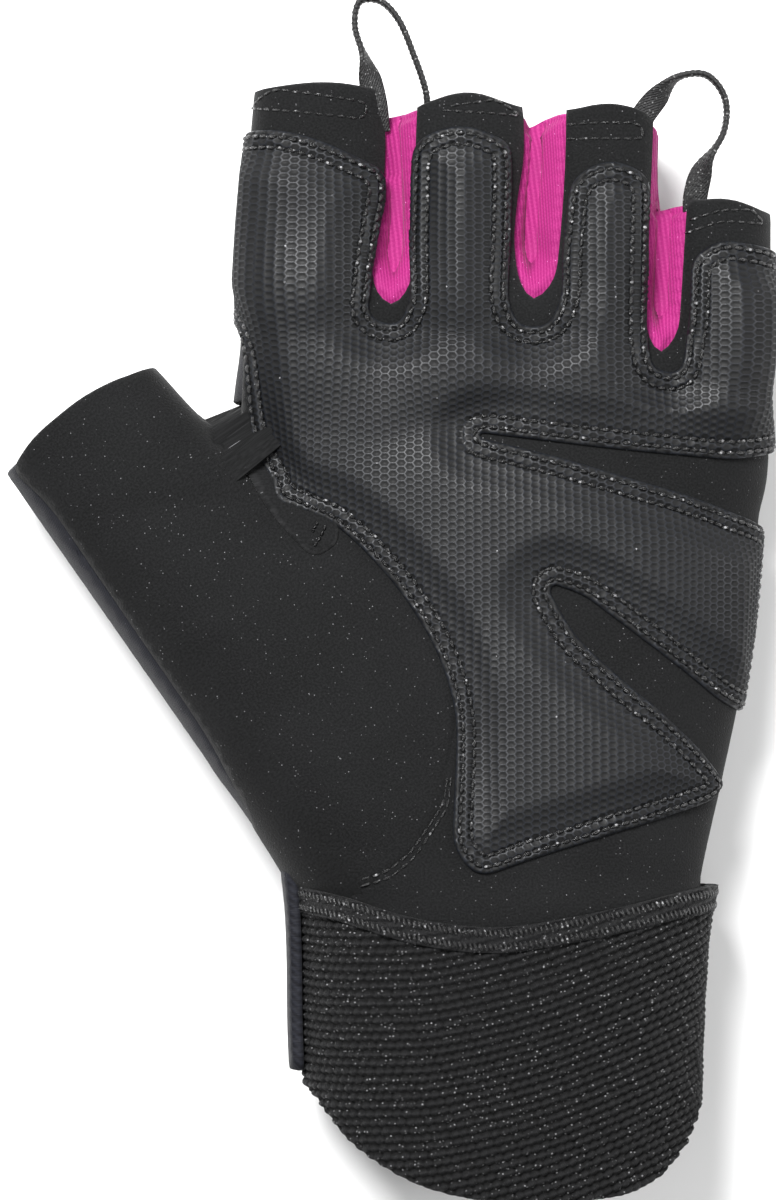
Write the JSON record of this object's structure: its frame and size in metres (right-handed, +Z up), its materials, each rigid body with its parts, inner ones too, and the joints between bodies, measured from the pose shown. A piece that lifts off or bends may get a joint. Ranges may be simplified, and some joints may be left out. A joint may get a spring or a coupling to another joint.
{
  "type": "weightlifting glove",
  "caption": "Fingerless left-hand weightlifting glove with a padded grip palm, pull loops between the fingers and a wide elastic wrist wrap, lying palm up.",
  "frame": {"origin": "centre of the bounding box in X and Y, on the surface that the glove lies on", "axes": "+Y from the wrist towards the fingers, +X from the thumb side towards the little finger, +Z up, out of the palm"},
  "size_m": [0.1354, 0.2054, 0.0395],
  "materials": {
    "suede": "matt black synthetic suede",
    "stretch": "matt blue-black stretch fabric",
    "knit": "magenta knitted stretch fabric",
    "leather": "dark grey embossed grip leather",
    "elastic": "black woven elastic",
    "webbing": "black narrow webbing"
  },
  "bodies": {
    "root": {"palm_panel": "suede", "back_panel": "stretch", "thumb_panel": "suede", "thumb_back_panel": "stretch", "gusset_index_middle": "knit", "gusset_middle_ring": "knit", "gusset_ring_little": "knit", "palm_overlay": "leather", "thumb_crotch_tab": "suede", "wrist_wrap": "elastic", "wrap_seam_band": "elastic", "closure_flap": "stretch", "pull_loop_index_middle": "webbing", "pull_loop_ring_little": "webbing"}
  },
  "joints": []
}
